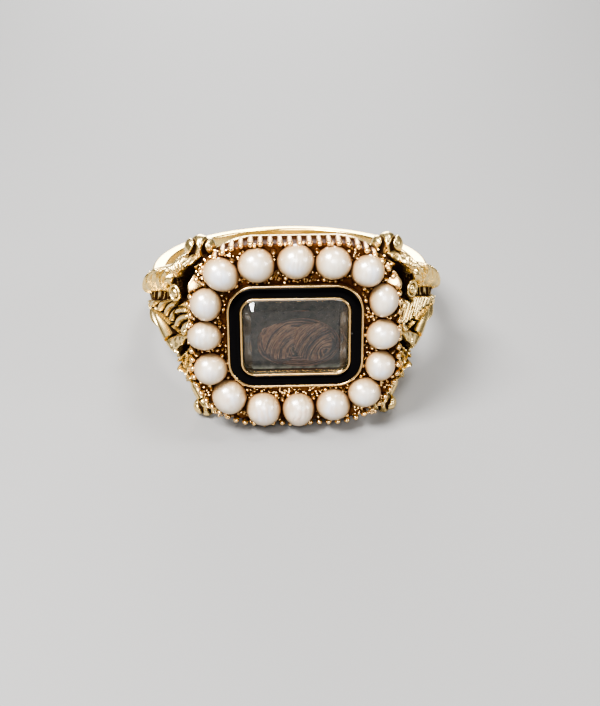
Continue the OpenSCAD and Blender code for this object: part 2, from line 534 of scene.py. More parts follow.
class Tree:
    """A node tree, built a node at a time. Each method hands back the new node's output."""

    def __init__(self, tree: bpy.types.NodeTree) -> None:
        """Takes the tree of a material or of a group."""
        self.tree = tree

    def add(
        self, kind: str, inputs: dict[str | int, object], out: str | int = 0, **properties: object
    ) -> Socket:
        """Adds a node, sets its properties, and sets or links its inputs.

        Args:
            kind: the node's type.
            inputs: a value or another node's socket for each input.
            out: the output wanted.
            properties: attributes such as operation or data_type.

        Returns:
            The node's output.
        """
        node = self.tree.nodes.new(kind)
        for key, value in properties.items():
            setattr(node, key, value)
        for key, value in inputs.items():
            self.feed(node.inputs[key], value)
        return node.outputs[out]

    def feed(self, socket: Socket, value: object) -> None:
        """Links a socket to another one, or sets it.

        Args:
            socket: the input.
            value: another node's socket, or a value; a colour may come without its fourth number.
        """
        if isinstance(value, Socket):
            self.tree.links.new(value, socket)
        else:
            socket.default_value = (*value, 1) if socket.type == "RGBA" and len(value) == 3 else value

    def place(self) -> Socket:
        """The place on the object."""
        return self.add("ShaderNodeTexCoord", {}, "Object")

    def attribute(self, name: str) -> Socket:
        """The number that a mesh keeps for each vertex under a name."""
        return self.add("ShaderNodeAttribute", {}, "Fac", attribute_name=name)

    def noise(self, scale: float | Socket, detail: float) -> Socket:
        """Cloudy values from 0 to 1 over the object."""
        inputs = {"Vector": self.place(), "Scale": scale, "Detail": detail}
        return self.add("ShaderNodeTexNoise", inputs, "Fac")

    def math(self, operation: str, *values: float | Socket) -> Socket:
        """A sum of two or three values."""
        return self.add("ShaderNodeMath", dict(enumerate(values)), operation=operation)

    def spread(
        self, value: Socket, low: float | Socket = 0.0, high: float | Socket = 1.0,
        to_low: float | Socket = 0.0, to_high: float | Socket = 1.0, **properties: object,
    ) -> Socket:
        """Carries values from one range to another and stops at its ends.

        Args:
            value: what is carried over.
            low: where the first range starts.
            high: where it ends.
            to_low: where the second range starts.
            to_high: where it ends.
            properties: attributes of the node.

        Returns:
            The new value.
        """
        ends = {"Value": value, "From Min": low, "From Max": high, "To Min": to_low, "To Max": to_high}
        return self.add("ShaderNodeMapRange", ends, **properties)

    def mix(
        self, share: float | Socket, a: Colour | Socket, b: Colour | Socket, blend: str = "MIX"
    ) -> Socket:
        """Goes from one colour to another.

        Args:
            share: how far, from 0 to 1.
            a: the first colour.
            b: the second colour.
            blend: how they are mixed.

        Returns:
            The mixed colour.
        """
        inputs = {"Factor": share, "A": a, "B": b}
        return self.add("ShaderNodeMix", inputs, "Result", data_type="RGBA", blend_type=blend)

    def bump(self, height: Socket, strength: float, distance: float) -> Socket:
        """Normals that follow a height."""
        inputs = {"Height": height, "Strength": strength, "Distance": distance}
        return self.add("ShaderNodeBump", inputs, "Normal")


class Dress(Tree):
    """A material under way, with its one shader."""

    def __init__(self, name: str) -> None:
        """Starts the material.

        Args:
            name: the material's name.
        """
        self.material = bpy.data.materials.new(name)
        self.material.use_nodes = True
        super().__init__(self.material.node_tree)
        self.shader = next(n for n in self.tree.nodes if n.type == "BSDF_PRINCIPLED")

    def set(self, **inputs: object) -> bpy.types.Material:
        """Sets or feeds the shader's inputs.

        Args:
            inputs: a value or a socket for each; underscores stand for spaces.

        Returns:
            The material.
        """
        for key, value in inputs.items():
            self.feed(self.shader.inputs[key.replace("_", " ")], value)
        return self.material


def tarnish_and_shade_group() -> bpy.types.NodeTree:
    """Old gold: clean where it is rubbed, dark in the recesses with tarnish and painted shade, with fine
    scuffs all over.

    Returns:
        The node group, built once.
    """
    name = "tarnish_and_shade"
    if name in bpy.data.node_groups:
        return bpy.data.node_groups[name]
    group = bpy.data.node_groups.new(name, "ShaderNodeTree")
    colour, number = "NodeSocketColor", "NodeSocketFloat"
    for label, kind, usual in (
        ("Recess", number, 0.0), ("Clean", colour, (0.9, 0.7, 0.45, 1)),
        ("Dark", colour, (0.1, 0.05, 0.03, 1)), ("Smooth", number, 0.2), ("Dull", number, 0.6),
        ("Start", number, 0.3), ("End", number, 0.78),
    ):
        group.interface.new_socket(label, in_out="INPUT", socket_type=kind).default_value = usual
    for label, kind in (("Colour", colour), ("Roughness", number), ("Height", number)):
        group.interface.new_socket(label, in_out="OUTPUT", socket_type=kind)
    given = group.nodes.new("NodeGroupInput").outputs
    out = group.nodes.new("NodeGroupOutput").inputs
    t = Tree(group)
    patches = t.noise(scale=900.0, detail=3.0)
    grit = t.noise(scale=2200.0, detail=4.0)
    depth = t.math("ADD", given["Recess"], t.math("MULTIPLY_ADD", patches, 0.55, -0.27))
    mask = t.spread(depth, given["Start"], given["End"], interpolation_type="SMOOTHSTEP")
    shade = t.mix(1.0, given["Clean"], t.spread(patches, 0.3, 0.7, 0.86), "MULTIPLY")
    wear = t.spread(mask, to_low=given["Smooth"], to_high=given["Dull"])
    t.feed(out["Colour"], t.mix(mask, shade, given["Dark"]))
    t.feed(out["Roughness"], t.math("MULTIPLY_ADD", grit, 0.12, wear))
    t.feed(out["Height"], grit)
    return group


@dataclass(frozen=True)
class GoldFinish:
    """One state of the ring's gold: clean and dark colour, clean and dull roughness, and where tarnish
    and painted shade start and end."""

    name: str
    clean: Colour
    dark: Colour
    smooth: float
    dull: float
    bump: float
    start: float
    end: float

    def material(self) -> bpy.types.Material:
        """Builds the finish.

        Returns:
            The material.
        """
        d = Dress(self.name)
        group = d.tree.nodes.new("ShaderNodeGroup")
        group.node_tree = tarnish_and_shade_group()
        given = {
            "Recess": d.attribute("recess"), "Clean": self.clean, "Dark": self.dark, "Smooth": self.smooth,
            "Dull": self.dull, "Start": self.start, "End": self.end,
        }
        for label, value in given.items():
            d.feed(group.inputs[label], value)
        normal = d.bump(group.outputs["Height"], self.bump, distance=0.00004)
        colour, rough = group.outputs["Colour"], group.outputs["Roughness"]
        return d.set(Metallic=1.0, Base_Color=colour, Roughness=rough, Normal=normal)


@dataclass(frozen=True)
class PearlFinish:
    """Cream nacre with a faint banding, painted darker and browner down at its seat as painted shade, and
    warmer on its lower side as a painted reflection of the gold.
    """

    name: str = "half_pearl_nacre"
    cool: Colour = (0.68, 0.70, 0.74)
    crown: Colour = (0.74, 0.665, 0.55)
    blush: Colour = (0.66, 0.49, 0.37)
    seat_shade_start: float = 0.06
    edge: tuple[tuple[float, Colour], ...] = (
        (0.20, (0.55, 0.43, 0.29)), (0.42, (0.39, 0.26, 0.13)), (0.66, (0.24, 0.115, 0.042)),
        (0.88, (0.06, 0.022, 0.008)),
    )

    def material(self) -> bpy.types.Material:
        """Builds the finish.

        Returns:
            The material.
        """
        d = Dress(self.name)
        foot, blush, grain = (d.attribute(name) for name in ("foot", "blush", "grain"))
        wide = d.noise(scale=750.0, detail=1.0)
        bands = {"Vector": d.place(), "Scale": 950.0, "Distortion": 6.0, "Detail": 2.5}
        streak = d.math("MULTIPLY", d.add("ShaderNodeTexWave", bands, "Fac", bands_direction="X"), grain)
        cloud = d.noise(scale=1300.0, detail=3.0)
        warm = d.math("MULTIPLY", d.spread(cloud, 0.38, 0.62), blush)
        shade = d.mix(d.spread(wide, 0.42, 0.62), self.crown, self.cool)
        shade = d.mix(d.math("MULTIPLY_ADD", streak, 0.4, warm), shade, self.blush)
        # Painted shade: steps of darker, browner colour from the crown down to the seat.
        start = self.seat_shade_start
        for stop, colour in self.edge:
            shade = d.mix(d.spread(foot, start, stop), shade, colour)
            start = stop
        skin = d.math("MULTIPLY_ADD", streak, 0.35, wide)
        normal = d.bump(skin, strength=0.5, distance=0.00012)
        return d.set(
            Base_Color=shade, Normal=normal, Roughness=0.34, Specular_IOR_Level=0.8, Coat_Weight=1.0,
            Coat_Roughness=0.24, Coat_IOR=1.8,
        )


@dataclass(frozen=True)
class EnamelFinish:
    """Glossy black enamel with small chips."""

    name: str = "black_enamel"
    black: Colour = (0.0016, 0.0013, 0.0016)
    chipped: Colour = (0.14, 0.13, 0.13)

    def material(self) -> bpy.types.Material:
        """Builds the finish.

        Returns:
            The material.
        """
        d = Dress(self.name)
        spots = d.add("ShaderNodeTexVoronoi", {"Vector": d.place(), "Scale": 1700.0}, "Distance")
        pit = d.spread(spots, 0.05, 0.14, 1.0, 0.0)
        some = d.spread(d.noise(scale=700.0, detail=2.0), 0.55, 0.62)
        chip = d.math("MULTIPLY", pit, some)
        base = d.mix(chip, self.black, self.chipped)
        rough = d.spread(chip, to_low=0.06, to_high=0.5)
        normal = d.bump(chip, strength=0.4, distance=-0.00003)
        return d.set(Base_Color=base, Roughness=rough, Normal=normal, Specular_IOR_Level=0.07)


@dataclass(frozen=True)
class CrystalFinish:
    """Clear old rock crystal."""

    name: str = "rock_crystal"
    tint: Colour = (0.95, 0.975, 0.955)

    def material(self) -> bpy.types.Material:
        """Builds the finish.

        Returns:
            The material.
        """
        d = Dress(self.name)
        normal = d.bump(d.noise(scale=500.0, detail=2.0), strength=0.03, distance=0.00002)
        return d.set(
            Base_Color=self.tint, Normal=normal, Transmission_Weight=1.0, IOR=1.54, Roughness=0.02,
            Specular_IOR_Level=0.28,
        )


@dataclass(frozen=True)
class HairFinish:
    """One shade of the laid hair."""

    name: str
    shade: Colour

    def material(self) -> bpy.types.Material:
        """Builds the finish.

        Returns:
            The material.
        """
        d = Dress(self.name)
        light = d.spread(d.noise(scale=4000.0, detail=2.0), 0.3, 0.7, 0.55, 1.25)
        tone = d.mix(1.0, self.shade, light, "MULTIPLY")
        return d.set(Base_Color=tone, Roughness=0.42, Specular_IOR_Level=0.12)


@dataclass(frozen=True)
class BackingFinish:
    """The grey backing under the hair, mottled; each of its two colours has a middle and a paler rim, a
    painted reflection seen through the crystal's bevels.
    """

    name: str = "grey_backing"
    dark: tuple[Colour, Colour] = ((0.004, 0.003, 0.002), (0.05, 0.052, 0.042))
    light: tuple[Colour, Colour] = ((0.038, 0.028, 0.020), (0.27, 0.265, 0.22))

    def material(self) -> bpy.types.Material:
        """Builds the finish.

        Returns:
            The material.
        """
        d = Dress(self.name)
        rim = d.attribute("rim")
        mottle = d.spread(d.noise(scale=2600.0, detail=6.0), 0.35, 0.68)
        tone = d.mix(mottle, d.mix(rim, *self.dark), d.mix(rim, *self.light))
        return d.set(Base_Color=tone, Roughness=0.6, Specular_IOR_Level=0.05)


# Each dark colour is tarnish together with painted shade, laid on where the patina and shade tag is high.
HOOP_GOLD = GoldFinish("polished_gold", (1.0, 0.74, 0.29), (0.34, 0.19, 0.06), 0.13, 0.4, 0.06, 0.35, 0.95)
CAST_GOLD = GoldFinish("cast_gold", (1.0, 0.75, 0.33), (0.050, 0.024, 0.011), 0.20, 0.6, 0.2, 0.24, 0.70)
HEAD_GOLD = GoldFinish("rose_gold", (1.0, 0.66, 0.28), (0.14, 0.052, 0.018), 0.18, 0.5, 0.12, 0.22, 0.72)
# The seat's clean colour is itself a dark brown: tarnish with painted shadow between the pearls.
SHADED_SEAT_GOLD = GoldFinish("seat_gold_and_shade", (0.25, 0.10, 0.032), (0.045, 0.015, 0.005), 0.36, 0.65, 0.8, 0.24, 0.80)


# Sub-assemblies


@dataclass
class Hoop:
    """The plain hoop: flat to the finger, crowned outside."""

    steps: int = 240
    arc_points: int = 22
    edge: float = 0.16

    def build(self) -> bpy.types.Object:
        """Spins the hoop's section once round the finger.

        Returns:
            The object.
        """
        s = SIZES
        Bench.clear()
        bpy.ops.mesh.primitive_circle_add(vertices=self.arc_points + 2, radius=1, location=(0, 0, 0))
        o = bpy.context.object
        half = s.hoop_w / 2
        zs = np.linspace(-half, half, self.arc_points)
        outside = [(0.0, s.hoop_r - s.crown_r + math.sqrt(s.crown_r**2 - z * z), z) for z in zs]
        Bench.place_points(o, np.array(outside + [(0.0, s.bore_r, half), (0.0, s.bore_r, -half)]))
        Bench.edit(o, "VERT")
        bpy.ops.mesh.spin(
            steps=self.steps, angle=2 * math.pi, center=(0, 0, 0), axis=(0, 0, 1), dupli=False,
            use_auto_merge=True,
        )
        Bench.outward(o)
        Bench.soften(o, self.edge, segments=4, angle=45)
        return o


class Row(NamedTuple):
    """The shoulder's edges at one angle from the head: its top and its bottom along the finger."""

    angle: float
    top: float
    bottom: float


class Blade(NamedTuple):
    """One petal of the cast leaf: from its root to its tip, each an angle from the head and a place along
    the finger; how far its spine bows, half its width, how high it stands, its ribs, and how blunt it is."""

    root: tuple[float, float]
    tip: tuple[float, float]
    bow: float
    half: float
    rise: float
    ribs: int = 0
    full: float = 0.5


def ramp(value: np.ndarray, start: float, length: float) -> np.ndarray:
    """Goes from 0 at a start to 1 a length further on, and stays within these."""
    return np.clip((value - start) / length, 0, 1)


@dataclass
class Shoulder:
    """One cast shoulder: a relief of petals and a ribbed wedge, modelled on a sheet bent round the finger.

    Its chart has the angle from the head in degrees one way and the place along the finger the other.
    """

    side: Side
    rows: int = 220
    columns: int = 180
    first_angle: float = 29.0
    last_angle: float = 88.5
    chart_r: float = 10.2
    inner_r: float = SIZES.bore_r + 0.3
    ground_depth: float = 0.62
    rolled: float = 0.09
    roll_fall: float = 0.55
    over_hoop: float = 0.04
    hoop_end: float = 82.0
    back_share: float = 0.97
    fan_foot: float = -0.38
    edges: tuple[Row, ...] = (
        Row(29, 4.95, -3.7), Row(33, 4.95, -3.5), Row(37, 4.8, -3.3), Row(40, 4.45, -3.0),
        Row(43, 3.95, -2.65), Row(46, 3.6, -2.5), Row(50, 3.3, -2.4), Row(54, 3.1, -2.3),
        Row(60, 2.75, -1.95), Row(65, 2.4, -1.6), Row(70, 1.7, -1.3), Row(76, 1.25, -1.12),
        Row(82, 1.1, -1.05), Row(88.5, 0.9, -0.9),
    )
    fan_top: tuple[tuple[float, float], ...] = (
        (31, 1.15), (34.5, 1.72), (41.8, 1.5), (48.8, 1.12), (62.2, 0.32), (75.9, -0.27),
    )
    shell_edges: tuple[Row, ...] = (
        Row(44.5, 2.95, 2.1), Row(48.6, 3.35, 1.55), Row(55.8, 3.05, 1.2), Row(62.6, 2.6, 0.85),
        Row(65.6, 2.3, 0.68), Row(71.1, 1.2, 0.2), Row(75, 0.6, 0.2),
    )
    petals: tuple[Blade, ...] = (
        Blade((46.5, 2.9), (30.5, 4.8), 0.0, 0.52, 0.50, 0, 0.3),
        Blade((43.2, 3.2), (44.6, 3.95), 0.05, 0.20, 0.86),
        Blade((40.6, 3.3), (42.4, 4.1), 0.06, 0.21, 0.90),
        Blade((38.6, 3.45), (40.4, 4.3), 0.06, 0.20, 0.92),
        Blade((36.4, 3.65), (38.3, 4.6), 0.06, 0.20, 0.92),
        Blade((34.4, 3.8), (36.2, 4.85), 0.05, 0.21, 0.90),
        Blade((32.0, 4.1), (34.0, 4.75), 0.05, 0.20, 0.90),
        Blade((30.2, 4.2), (31.6, 4.8), 0.05, 0.20, 0.92),
        Blade((73.5, -0.52), (63.0, -1.65), 0.12, 0.36, 0.58, 0, 0.45),
        Blade((63.0, -0.5), (43.6, -2.1), 0.38, 0.46, 0.86, 0, 0.5),
        Blade((60.0, -1.55), (46.0, -2.3), 0.05, 0.16, 0.50),
        Blade((38.8, -0.85), (47.6, -1.75), -0.08, 0.52, 0.84, 0, 0.35),
        Blade((31.0, -1.2), (39.0, -2.8), 0.0, 0.62, 0.45, 0, 0.35),
        Blade((33.0, -0.95), (41.2, -2.5), 0.0, 0.17, 0.95),
        Blade((32.2, -1.25), (36.8, -2.45), 0.05, 0.13, 0.84),
        Blade((30.8, -1.3), (32.6, -2.6), 0.08, 0.15, 0.96),
        Blade((41.2, -2.65), (35.6, -2.85), 0.0, 0.15, 0.92),
        Blade((38.0, -2.0), (33.8, -2.35), 0.0, 0.11, 0.86),
        Blade((35.0, -3.3), (32.0, -2.75), 0.0, 0.14, 0.90),
        Blade((38.0, -2.95), (29.8, -3.5), 0.0, 0.24, 0.66, 2),
        Blade((74.0, -0.40), (37.5, -0.45), 0.0, 0.075, 0.78, 0, 0.4),
        Blade((36.8, -0.35), (35.0, 0.15), 0.0, 0.26, 0.80),
        Blade((33.6, 0.15), (33.2, 0.75), 0.0, 0.28, 0.84),
    )
    pits: tuple[Blade, ...] = (
        Blade((39.6, 1.8), (32.2, 4.0), 0.0, 0.60, 1.25, 0, 0.35),
        Blade((34.6, -1.0), (41.6, -2.0), 0.0, 0.30, 0.8, 0, 0.4),
        Blade((50.0, -0.62), (44.5, -0.72), 0.0, 0.15, 0.5),
    )

    def fan(self, angle: np.ndarray, z: np.ndarray) -> np.ndarray:
        """The fan of curved blades in the middle: broad at their tops, with dark gaps between their feet.

        Args:
            angle: degrees from the head.
            z: place along the finger.

        Returns:
            Its height, 0 outside it.
        """
        left = self.side is Side.LEFT
        low = self.fan_foot + (0.0 if left else 0.6 * ramp(-angle, -50, 17))
        high = np.interp(angle, *zip(*self.fan_top))
        up = np.maximum(z - low, 0)
        share = np.clip(up / np.maximum(high - low, 0.05), 0, 1)
        pitch = 5.5 if left else 3.6
        phase = angle + (2.6 * up + 3.2 * up**2 if left else -3.4 * up)
        wave = 0.5 + 0.5 * np.cos(2 * np.pi * (phase - 66.3) / pitch)
        crest = wave ** (0.55 - 0.40 * share if left else 0.75 - 0.3 * share)
        inside = ramp(z, low, 0.1) * ramp(-z, -high, 0.14) * ramp(angle, 33, 1.5)
        return np.sqrt(inside) * (0.05 + crest * (0.52 + 0.14 * share))

    def shell(self, angle: np.ndarray, z: np.ndarray) -> np.ndarray:
        """The ribbed shell over the fan, which bulges and hangs over the dark groove between them.

        Args:
            angle: degrees from the head.
            z: place along the finger.

        Returns:
            Its height, 0 outside it.
        """
        stops, tops, bottoms = zip(*self.shell_edges)
        top = np.interp(angle, stops, tops)
        bottom = np.interp(angle, stops, bottoms)
        across = 2 * (z - bottom) / np.maximum(top - bottom, 0.05) - 1
        dome = np.sqrt(np.clip(1 - np.abs(across) ** 2.6, 0, 1))
        ends = np.sqrt(ramp(angle, stops[0], 3) * ramp(-angle, -stops[-1], 5))
        ridge = 0.5 + 0.5 * np.cos(2 * np.pi * (angle + 1.9 * z + 0.5 * np.sin(2.1 * angle)) / 3.7)
        under = ramp(z, bottom - 0.62, 0.12) * ramp(-z, -bottom - 0.25, 0.2)
        return ends * np.maximum(dome * (0.36 + 0.62 * ridge**0.8), under * (0.08 + 0.26 * ridge**1.5))

    @staticmethod
    def ground(angle: np.ndarray) -> np.ndarray:
        """How far the crests of the relief stand from the finger's axis.

        Args:
            angle: degrees from the head.

        Returns:
            The radius, which stays behind the head's seat.
        """
        swell = SIZES.hoop_r + 0.1 + 2.6 * (np.maximum(70 - angle, 0) / 40) ** 2.1
        swell += 0.40 * np.exp(-(((angle - 67) / 8) ** 2))
        return np.minimum(swell, (SIZES.seat_y - 0.3) / np.cos(np.radians(angle)))

    def stamp(self, blade: Blade, angle: np.ndarray, z: np.ndarray) -> np.ndarray:
        """How high one petal stands over each point of the chart.

        Args:
            blade: the petal.
            angle: degrees from the head.
            z: place along the finger.

        Returns:
            Its height, 0 outside it.
        """
        scale = self.chart_r * math.pi / 180
        u = angle * scale
        a = np.array([blade.root[0] * scale, blade.root[1]])
        b = np.array([blade.tip[0] * scale, blade.tip[1]])
        along = b - a
        length = float(np.hypot(*along))
        across = np.array([-along[1], along[0]]) / length
        t = np.clip(((u - a[0]) * along[0] + (z - a[1]) * along[1]) / length**2, -0.2, 1.2)
        sway = 4 * blade.bow * t * (1 - t)
        d = (u - a[0]) * across[0] + (z - a[1]) * across[1] - sway
        inner = np.clip(t, 0, 1)
        width = blade.half * np.sin(np.pi * np.clip(0.06 + 0.9 * inner, 0, 1)) ** blade.full
        over = np.abs(t - inner) * length / blade.half * 1.1
        off = np.sqrt((d / np.maximum(width, 1e-6)) ** 2 + over**2)
        height = blade.rise * np.sqrt(np.clip(1 - off**2, 0, 1)) * (0.72 + 0.28 * np.sin(np.pi * inner))
        if blade.ribs:
            flute = 0.5 - 0.5 * np.cos(np.pi * (d / np.maximum(width, 1e-6) + 1) * (blade.ribs + 1))
            height *= 0.84 + 0.16 * flute
        return height

    def relief(self, angle: np.ndarray, z: np.ndarray) -> np.ndarray:
        """Lays petals, fan and shell over each other, wrinkles the worn foot and sinks the pits.

        Args:
            angle: degrees from the head.
            z: place along the finger.

        Returns:
            The height over the ground.
        """
        height = np.maximum(self.fan(angle, z), self.shell(angle, z))
        for blade in self.petals:
            height = np.maximum(height, self.stamp(blade, angle, z))
        u = np.radians(angle) * self.chart_r
        worn = ramp(-z, 0.7, 0.5) * ramp(-angle, -50, 6) * ramp(height, 0, 0.3)
        height += 0.14 * worn * np.sin(7.5 * u + 2.5 * z) * np.cos(6.1 * z - 2.2 * u + 1)
        for pit in self.pits:
            depth = self.stamp(pit, angle, z)
            height = np.where(depth > 0, np.minimum(height, 0.3) - depth, height)
        return height

    def build(self) -> bpy.types.Object:
        """Models the relief sheet: a grid whose edges follow the shoulder's outline, then given thickness.

        Returns:
            The object, with soil and painted shade in its grooves.
        """
        Bench.clear()
        bpy.ops.mesh.primitive_grid_add(x_subdivisions=self.rows, y_subdivisions=self.columns, size=2)
        o = bpy.context.object
        along, v, _ = Bench.points(o).T
        angle = self.first_angle + (along + 1) / 2 * (self.last_angle - self.first_angle)
        stops, tops, bottoms = zip(*self.edges)
        top = np.interp(angle, stops, tops)
        bottom = np.interp(angle, stops, bottoms)
        z = (top + bottom) / 2 + v * (top - bottom) / 2
        height = self.relief(angle, z)
        # Soil and painted shade: darker where the relief sinks low, in its grooves.
        Bench.tag(o, "soil_and_shade", ramp(-height, -0.50, 0.38) * ramp(-np.abs(v), -1, 0.03) * ramp(-angle, -84, 8))
        rolled = ramp(-np.abs(v), -1, self.rolled)
        fall = 1 - np.sqrt(np.clip(1 - (1 - rolled) ** 2, 0, 1))
        radius = self.ground(angle) - self.ground_depth + height - fall * self.roll_fall
        radius = np.maximum(radius, self.inner_r + 0.25)
        s = SIZES
        hoop = s.hoop_r + self.over_hoop - s.crown_r + np.sqrt(np.maximum(s.crown_r**2 - z**2, 0))
        over = (np.abs(z) < s.hoop_w / 2) & (angle < self.hoop_end)
        radius = np.where(over, np.maximum(radius, hoop), radius)
        turn = np.radians(angle) * self.side.value
        Bench.place_points(o, np.column_stack((radius * np.sin(turn), -radius * np.cos(turn), z)))
        if self.side is Side.RIGHT:
            o.data.flip_normals()
        self.close_back(o)
        return o

    def close_back(self, o: bpy.types.Object) -> None:
        """Draws the sheet's border in to the finger's side and fills it there.

        Args:
            o: the relief sheet.
        """
        Bench.edit(o, "EDGE")
        bpy.ops.mesh.select_all(action="DESELECT")
        bpy.ops.mesh.select_non_manifold(
            extend=False, use_wire=False, use_multi_face=False, use_non_contiguous=False, use_verts=False
        )
        first_new = len(o.data.vertices)
        bpy.ops.mesh.extrude_edges_move(TRANSFORM_OT_translate={"value": (0, 0, 0)})
        bpy.ops.object.mode_set(mode="OBJECT")
        self.draw_in(o, first_new)
        p = Bench.points(o)
        p[first_new:, 2] *= self.back_share
        Bench.place_points(o, p)
        bpy.ops.object.mode_set(mode="EDIT")
        bpy.ops.mesh.fill_grid(span=self.rows, offset=0)
        bpy.ops.mesh.select_all(action="SELECT")
        bpy.ops.mesh.normals_make_consistent(inside=False)
        bpy.ops.object.mode_set(mode="OBJECT")
        self.draw_in(o, first_new)

    def draw_in(self, o: bpy.types.Object, first: int) -> None:
        """Moves all vertices from a number on to the finger's side.

        Args:
            o: the mesh object.
            first: number of the first vertex that moves.
        """
        p = Bench.points(o)
        moved = p[first:, :2]
        moved *= (self.inner_r / np.maximum(np.hypot(*moved.T), 1e-6))[:, None]
        Bench.place_points(o, p)


@dataclass
class Scroll:
    """A leaf tip rolled over into a knuckle of three lobes at one corner of the head."""

    side: Side
    level: Level
    half: float = 0.98
    groove: float = 0.085
    grooves: tuple[tuple[float, float, float], ...] = ((-0.42, 0.12, 0.4), (0.36, -0.15, 1.2))
    worn_r: float = 0.62
    worn_share: float = 0.88
    worn_drop: float = -0.10
    drop: float = 0.02

    def build(self) -> bpy.types.Object:
        """Presses two S-shaped grooves, deep pockets at their feet, into a ball drawn out sideways.

        Returns:
            The object, with soil and painted shade in its grooves.
        """
        s = SIZES
        low = self.level is Level.LOW
        o = Bench.ball(1.0, segments=112, rings=80)
        o.data.transform(Matrix.Rotation(math.pi / 2, 4, "Y"))
        x, y, z = Bench.points(o).T
        turn = np.arctan2(z * self.level.value, -y)
        front = np.clip(1.2 - np.abs(turn - 0.1), 0, 1)
        cut = np.zeros(len(x))
        for middle, sway, phase in self.grooves:
            offset = x - middle - sway * np.sin(2 * turn + phase)
            width = self.groove + 0.13 * np.clip(0.5 - turn, 0, 1) * front
            cut = np.maximum(cut, np.exp(-((offset / width) ** 2)) * (0.20 + 0.2 * front))
        if low:
            ridges = 0.09 * np.sin(7 * x + 4 * turn) * np.cos(5 * turn - 3 * x)
        else:
            ridges = 0.035 * np.cos(16 * x + 5 * turn) * front
        radial = (1 + 0.05 * np.cos(7.5 * x) - cut + ridges) * (self.worn_r if low else s.scroll_r)
        half = self.half * (self.worn_share if low else 1.0)
        Bench.place_points(o, np.column_stack((x * half, y * radial, z * radial)))
        # Soil and painted shade along the grooves.
        Bench.tag(o, "soil_and_shade", np.clip(cut * 3.2, 0, 1))
        height = self.level.value * s.scroll_z + (self.worn_drop if low else self.drop)
        place = (self.side.value * s.scroll_x, -s.scroll_y, height)
        o.data.transform(Matrix.Translation(place))
        return o


@dataclass
class Curl:
    """The little ball in a ring that ends the ribbed petal."""

    side: Side
    angle: float = 43.5
    z: float = 1.92
    r: float = 10.75

    def build(self) -> bpy.types.Object:
        """A ball with a wire ring round it, facing away from the finger.

        Returns:
            The object.
        """
        ball = Bench.ball(0.27, segments=20, rings=12)
        Bench.resize(ball, (1.0, 1.15, 0.9))
        bpy.ops.mesh.primitive_torus_add(
            major_segments=32, minor_segments=10, major_radius=0.42, minor_radius=0.1
        )
        ring = bpy.context.object
        Bench.resize(ring, (1.0, 1.12, 1.3))
        o = Bench.join([ball, ring])
        place = Matrix.Translation((0, -self.r, self.z)) @ Matrix.Rotation(math.pi / 2, 4, "X")
        o.data.transform(Matrix.Rotation(math.radians(self.angle) * self.side.value, 4, "Z") @ place)
        return o


@dataclass
class Stem:
    """A round knotted stem from the shoulder's edge to a scroll: its points and its radius at each."""

    side: Side
    level: Level
    high: tuple[tuple[Point, float], ...] = (
        ((7.1, -7.1, 3.5), 0.40), ((6.8, -7.5, 3.9), 0.27), ((6.5, -7.9, 4.25), 0.39),
        ((6.2, -8.3, 4.6), 0.25), ((5.9, -8.7, 4.9), 0.34),
    )
    low: tuple[tuple[Point, float], ...] = (
        ((6.42, -7.62, -2.5), 0.45), ((6.52, -7.85, -3.15), 0.40), ((6.45, -8.1, -3.75), 0.28),
        ((6.25, -8.4, -4.3), 0.38), ((5.95, -8.75, -4.9), 0.32),
    )

    def build(self) -> bpy.types.Object:
        """Draws the stem through its points.

        Returns:
            The object.
        """
        places, radii = zip(*(self.low if self.level is Level.LOW else self.high))
        line = [(self.side.value * x, y, z) for x, y, z in places]
        return Bench.tubes([(line, radii)], "BEZIER", resolution=5, r=1.0)


